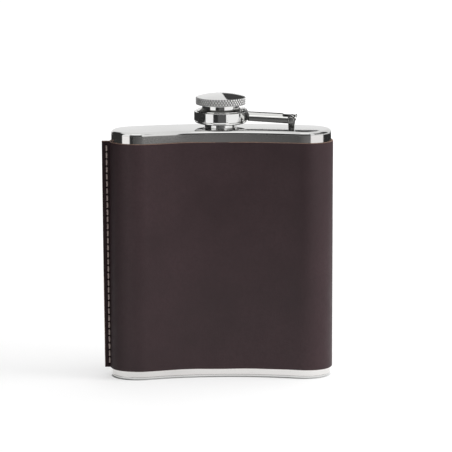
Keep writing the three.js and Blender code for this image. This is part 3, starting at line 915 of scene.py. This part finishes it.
def sheet_profile():
    """Round the sheet's thickness: (height, side) where side runs from 1 outside to -1 inside."""
    round_off = LEATHER_THICK / 2
    low, high = LEATHER_BOTTOM + round_off, LEATHER_TOP - round_off
    turn = np.radians(np.linspace(0, 180, 9))[1:-1]
    up = [(z, 1.0) for z in np.linspace(low, high, FACE_ROWS)]
    over = [(high + round_off * math.sin(a), math.cos(a)) for a in turn]
    down = [(z, -1.0) for z in np.linspace(high, low, FACE_ROWS // 6)]
    under = [(low - round_off * math.sin(a), -math.cos(a)) for a in turn]
    return np.array(up + over + down + under)


def leather_sheet():
    """The wrap's mesh: uneven hand-cut edges, soft swells, and puckers along the seam."""
    path, profile = wrap_path(), sheet_profile()
    count = len(path)
    z = np.repeat(profile[:, :1], count, 1)
    side = np.repeat(profile[:, 1:], count, 1)
    x, y, nx, ny, share = (np.repeat(path[None, :, k], len(profile), 0) for k in range(5))
    edge_x = fin_edge_x(z) + LEATHER_THICK * 0.3
    on_fin = share < 1
    x = np.where(on_fin, edge_x + (x - edge_x) * share, x)
    place_mm = np.stack([x, y, z], 2)
    end = np.clip(share * 9, 0, 1)
    rounding = np.sqrt(1 - (1 - end) ** 2)
    half = LEATHER_THICK / 2 * np.where(on_fin, 0.55 + 0.45 * rounding, 1)
    swell = 0.035 * smooth_noise(place_mm, 26, 3) + 0.012 * smooth_noise(place_mm, 6, 5)
    swell += np.where(on_fin, 0.022, 0) * smooth_noise(place_mm, 1.7, 11)
    outer = np.clip(side, 0, 1)
    from_seam = np.abs(x - seam_x(z))
    along = (z - SEAM_LOW) / STITCH_PITCH
    to_hole = np.abs(along - np.round(along)) * STITCH_PITCH
    sewn = on_fin | (x < seam_x(z) + 1.2)
    pucker = SEAM_SUNK * np.exp(-((from_seam / 0.55) ** 2))
    pucker += HOLE_SUNK * np.exp(-((to_hole / 0.4) ** 2) - (from_seam / 0.42) ** 2)
    groove = np.where(sewn, pucker, 0)
    offset = half * side + outer * (swell - groove)
    edge_wave = CUT_WAVE * smooth_noise(place_mm * [1, 1, 0], 17, 8)
    near_top = np.clip((z - LEATHER_TOP + EDGE_BAND) / EDGE_BAND, 0, 1)
    near_bottom = np.clip((LEATHER_BOTTOM + EDGE_BAND - z) / EDGE_BAND, 0, 1)
    height = z + edge_wave * (near_top + near_bottom) - CUT_WAVE * (near_top - near_bottom)
    points = np.stack([x + nx * offset, y + ny * offset, height], 2)
    rows = len(profile)
    faces = grid_faces(rows, count, True, False)
    faces.append(tuple(i * count for i in range(rows)))
    faces.append(tuple(i * count + count - 1 for i in range(rows)))
    sheet = make("leather_sheet", points.reshape(-1, 3), faces, 50)
    # Painted shade round each stitch hole, stored for the leather's material.
    hole_shades = np.where(sewn, np.exp(-((to_hole / HOLE_REACH) ** 2) - (from_seam / 0.4) ** 2), 0)
    sheet.data.attributes.new("hole_shade", "FLOAT", "POINT").data.foreach_set("value", hole_shades.reshape(-1))
    sheet.data.materials.append(LEATHER)
    return sheet


def paint_cut_edges(sheet):
    """Gives the sheet's cut edges their own material."""
    sheet.data.materials.append(CUT_EDGE)
    top, bottom = (LEATHER_TOP - 0.3) * MM, (LEATHER_BOTTOM + 0.3) * MM
    for face in sheet.data.polygons:
        centre, normal = face.center, face.normal
        free_edge = centre.x < fin_edge_x(centre.z / MM) * MM + 0.35 * MM and abs(normal.x) > 0.6
        if (abs(normal.z) > 0.75 and (centre.z > top or centre.z < bottom)) or free_edge:
            face.material_index = 1


def stitch_lift(along):
    """0 in a hole and 1 over a stitch."""
    share = np.clip((np.abs(along - np.round(along)) - 0.1) / 0.12, 0, 1)
    return share * share * (3 - 2 * share)


def stitch_line(side, samples):
    """The sewing thread's centre line: flat over each stitch and steep into each hole."""
    along = np.linspace(0, STITCHES, samples)
    lift = stitch_lift(along)
    arch = 0.06 * np.sin(math.pi * (along % 1))
    out = THREAD_DEEP + (LEATHER_THICK + PLY_GAP + THREAD_PROUD - THREAD_DEEP) * lift + arch
    z = SEAM_LOW + along * STITCH_PITCH
    x = seam_x(z) + 0.045 * np.sin(2 * math.pi * (along + 0.25 * side))
    return np.stack([x, END_Y + side * out, z], 1)


def seam_thread(name, side):
    """One waxed thread of three plies twisted together, sewn up the fin."""
    line = stitch_line(side, STITCHES * 26 + 1)
    tangent = np.gradient(line, axis=0)
    tangent /= np.linalg.norm(tangent, axis=1)[:, None]
    across = np.cross(tangent, [1.0, 0, 0])
    across /= np.linalg.norm(across, axis=1)[:, None]
    third = np.cross(tangent, across)
    length = np.concatenate([[0], np.cumsum(np.linalg.norm(np.diff(line, axis=0), axis=1))])
    angles = np.linspace(0, 2 * math.pi, 18, endpoint=False)
    twist = 2 * math.pi * length / TWIST_LENGTH
    pulled = 0.45 + 0.55 * stitch_lift(np.linspace(0, STITCHES, len(line)))
    plies = np.abs(np.cos(1.5 * (angles[None, :] - twist[:, None]))) ** 0.6
    radius = (THREAD_RADIUS * pulled[:, None] * (0.86 + 0.182 * plies))[:, :, None]
    across_part = np.cos(angles)[None, :, None] * across[:, None, :]
    third_part = np.sin(angles)[None, :, None] * third[:, None, :]
    points = line[:, None, :] + radius * (across_part + third_part)
    return make(name, points.reshape(-1, 3), loft_faces(*points.shape[:2]), 80)


# ---- Assembly ----
place(body_shell(), SHELL_STEEL, "root", "shell_steel", "body_shell")
place(foot_plate(), PLATE_STEEL, "root", "shell_steel", "bottom_plate")
place(shoulder_plate(), PLATE_STEEL, "root", "shell_steel", "top_plate")
place(neck(), CAP_STEEL, "root", "cap_steel", "neck")
place(spout_weld(), PLATE_STEEL, "root", "shell_steel")
place(cap_drum(), CAP_STEEL, "cap", "cap_steel", "cap_body")
place(cap_head(), None, "cap", "cap_steel", "cap_knob")
place(gasket(), SEAL, "cap", "seal", "cap_gasket")
place(captive_arm(), None, "arm", "arm_steel", "arm")
place(hinge_lug(), ARM_STEEL, "root", "arm_steel", "hinge_lug")
place(hinge_pin(), ARM_STEEL, "root", "arm_steel", "hinge_pin")
wrap = place(leather_sheet(), LEATHER, "root", "leather", "leather_wrap")
paint_cut_edges(wrap)
needle = place(seam_thread("needle_thread_sewn", -1), THREAD, "root", "thread", "needle_thread")
bobbin = place(seam_thread("bobbin_thread_sewn", 1), THREAD, "root", "thread", "bobbin_thread")


# ---- Camera ----
CAMERA_BACK = 1.6310
CAMERA_HEIGHT = 0.3502
CAMERA_ASIDE = 0.00225
CAMERA_YAW = math.radians(2.31)
CAMERA_PITCH = math.radians(9.95)
CAMERA_LENS = 306.3


def add_camera():
    ahead = Vector((math.sin(CAMERA_YAW), math.cos(CAMERA_YAW), 0))
    right = Vector((ahead.y, -ahead.x, 0))
    data = bpy.data.cameras.new("camera")
    data.lens, data.sensor_width = CAMERA_LENS, 36
    data.clip_start, data.clip_end = 0.05, 60
    camera = bpy.data.objects.new("camera", data)
    camera.location = -ahead * CAMERA_BACK + right * CAMERA_ASIDE + Vector((0, 0, CAMERA_HEIGHT))
    camera.rotation_euler = (math.pi / 2 - CAMERA_PITCH, 0, -CAMERA_YAW)
    bpy.context.scene.collection.objects.link(camera)
    bpy.context.scene.camera = camera


# ---- Studio, in metres ----
FLOOR_WHITE = 0.5
FLOOR_GLOW = 1.03
FLOOR_SPLIT = 0.42  # radius of the floor that the steel reflects
FLOOR_REACH = 9.0
WORLD_STRENGTH = 1.02
ROOM_RADIUS = 4.0
ROOM_DARK = 0.035
# Azimuths from the camera's side towards +X, heights, softness (all degrees), brightness.
ROOM_PATCHES = [
    ((-71, -35), (-60, 50), 1.2, 1.0),
    ((21, 84), (-60, 12), 1.2, 1.0),
    ((21, 40), (12, 50), 1.2, 0.9),
    ((40, 84), (12, 50), 1.2, 0.2),
    ((-35, 21), (30, 60), 3, 0.8),
    ((-14, 18), (-60, 5), 4, 0.07),
    ((84, 240), (-1, 11), 1, 0.85),
    ((120, 240), (11, 50), 1, 0.85),
    ((-240, -150), (-1, 50), 1, 0.85),
    ((-240, 240), (50, 95), 4, 0.9),
    ((-240, 240), (-95, -45), 5, 0.7),
]
LOW_CARD_BACK = 0.15  # in front of the flask
LOW_CARD_TOP = 0.0865
LOW_CARD_LEFT, LOW_CARD_RIGHT = -0.084, 0.082
DARK_CARD_BEHIND = 0.1


def paint_stage(name, colour, glow=0.0):
    n = Nodes(name)
    return n.set(Base_Color=(*colour, 1), Roughness=0.9, Specular_IOR_Level=0.0,
                 Emission_Color=(*colour, 1), Emission_Strength=glow)


def stage_piece(name, points, faces, material):
    """A piece of the studio, from points in metres."""
    piece = bpy.data.objects.new(name, bpy.data.meshes.new(name))
    piece.data.from_pydata(points, [], faces)
    piece.data.materials.append(material)
    bpy.context.scene.collection.objects.link(piece)
    return piece


def only_reflected(piece):
    for ray in ("camera", "diffuse", "transmission", "volume_scatter", "shadow"):
        setattr(piece, "visible_" + ray, False)


def glowing(n, strength):
    """Makes a material only glow, with a strength that a node gives."""
    glow = n.add("ShaderNodeEmission")
    n.link(strength, glow.inputs["Strength"])
    output = next(node for node in n.tree.nodes if node.type == "OUTPUT_MATERIAL")
    n.link(glow.outputs[0], output.inputs["Surface"])
    return n.material


def floor_ring(name, inner, outer, material):
    """A flat floor piece between two outlines, or inside the outer one if there is no inner one."""
    count = len(outer)
    if inner is None:
        points, faces = outer, [tuple(range(count))]
    else:
        points, faces = np.vstack([inner, outer]), grid_faces(2, count, False, True)
    return stage_piece(name, np.column_stack([points, np.zeros(len(points))]).tolist(), faces, material)


def floor():
    """White paper that glows, but not under the flask, so that its contact line stays dark."""
    plain = paint_stage("white_paper_shaded", (0.8, 0.8, 0.8))
    paper = paint_stage("white_paper", (FLOOR_WHITE,) * 3, FLOOR_GLOW)
    foot = body_ring(0.3) * MM
    facing = np.arctan2(foot[:, 1], foot[:, 0])
    circle = np.stack([np.cos(facing), np.sin(facing)], 1)
    floor_ring("floor_foot", None, foot, plain)
    floor_ring("floor_near", foot, circle * FLOOR_SPLIT, paper)
    far = floor_ring("floor_far", circle * FLOOR_SPLIT, circle * FLOOR_REACH, paper)
    far.visible_glossy = False


def reflection_room():
    """A sphere that only reflections see: dark with soft boxes in front, pale behind and above."""
    n = Nodes("reflection_room")
    x, y, z = n.axes()
    azimuth = n.math("MULTIPLY", n.math("ARCTAN2", x, n.math("MULTIPLY", y, -1.0)), 180 / math.pi)
    flat = n.math("SQRT", n.math("ADD", n.math("MULTIPLY", x, x), n.math("MULTIPLY", y, y)))
    height = n.math("MULTIPLY", n.math("ARCTAN2", z, flat), 180 / math.pi)

    def rising(value, start, end):
        node = n.add("ShaderNodeMapRange", interpolation_type="SMOOTHSTEP")
        n.feed(node.inputs["Value"], value)
        node.inputs["From Min"].default_value, node.inputs["From Max"].default_value = start, end
        return node.outputs["Result"]

    def patch(around, sides, heights, soft, level):
        """A glowing patch between two azimuths and two heights, in degrees."""
        parts = [rising(around, sides[0] - soft, sides[0] + soft),
                 rising(n.math("MULTIPLY", around, -1.0), -sides[1] - soft, -sides[1] + soft),
                 rising(height, heights[0] - soft, heights[0] + soft),
                 rising(n.math("MULTIPLY", height, -1.0), -heights[1] - soft, -heights[1] + soft)]
        total = level
        for part in parts:
            total = n.math("MULTIPLY", part, total)
        return total

    total = ROOM_DARK
    for sides, heights, soft, level in ROOM_PATCHES:
        total = n.math("ADD", total, patch(azimuth, sides, heights, soft, level))
    room = stage_piece("reflection_room", [], [], glowing(n, total))
    form = bmesh.new()
    bmesh.ops.create_uvsphere(form, u_segments=64, v_segments=32, radius=ROOM_RADIUS)
    form.to_mesh(room.data)
    form.free()
    only_reflected(room)


def reflected_card(name, corners, level):
    """A flat card that only reflections see, with a brightness that may change along X."""
    n = Nodes(name)
    glow = n.spread(n.axes()["X"], -0.06, 0.06, *level)
    only_reflected(stage_piece(name, corners, [tuple(range(len(corners)))], glowing(n, glow)))


def add_cards():
    """A low grey card in front, that the wall shows, and a dark one behind, whose edge the dome shows."""
    low_card = [(LOW_CARD_LEFT, 0.02), (LOW_CARD_RIGHT, 0.02), (LOW_CARD_RIGHT, LOW_CARD_TOP),
                (LOW_CARD_LEFT, LOW_CARD_TOP)]
    reflected_card("low_card", [(x, -LOW_CARD_BACK, z) for x, z in low_card], (0.09, 0.2))
    dark_card = [(0.0045, 0.132), (0.007, 0.163), (0.0088, 0.177), (0.0112, 0.193), (0.0146, 0.206),
                 (0.0175, 0.216), (0.034, 0.24), (0.05, 0.24), (0.05, 0.132)]
    reflected_card("dark_card", [(x, DARK_CARD_BEHIND, z) for x, z in dark_card], (0.05, 0.06))


def add_area(name, place, size, power):
    """A soft box that faces the flask, out of sight of the camera and of reflections."""
    data = bpy.data.lights.new(name, "AREA")
    data.shape, data.size, data.size_y = "RECTANGLE", *size
    data.energy = power
    light = bpy.data.objects.new(name, data)
    light.location = place
    light.rotation_euler = (Vector((0, 0, 0.06)) - Vector(place)).to_track_quat("-Z", "Y").to_euler()
    light.visible_camera = light.visible_glossy = False
    bpy.context.scene.collection.objects.link(light)


def add_world():
    """A plain white room."""
    world = bpy.data.worlds.new("white_room")
    world.use_nodes = True
    background = world.node_tree.nodes["Background"]
    background.inputs["Color"].default_value = (1, 1, 1, 1)
    background.inputs["Strength"].default_value = WORLD_STRENGTH
    bpy.context.scene.world = world


def black_flag(name, corners):
    """A black board beside the flask that only shades it: the camera and the reflections don't see it."""
    flag = stage_piece(name, corners, [(0, 1, 2, 3)], paint_stage(name, (0.0, 0.0, 0.0)))
    flag.visible_camera = flag.visible_glossy = False


def add_studio():
    floor()
    add_world()
    reflection_room()
    add_cards()
    black_flag("left_flag", [(-0.4, -0.7, 0.03), (-0.2, 0.4, 0.03), (-0.2, 0.4, 0.7), (-0.4, -0.7, 0.7)])
    add_area("overhead_box", (0, 0.2, 1.5), (1.6, 1.6), 6)
    add_area("right_box", (1.5, -0.3, 0.7), (1.0, 1.2), 20)
    bpy.context.scene.view_settings.view_transform = "Standard"
    bpy.context.scene.view_settings.look = "None"


add_camera()
add_studio()
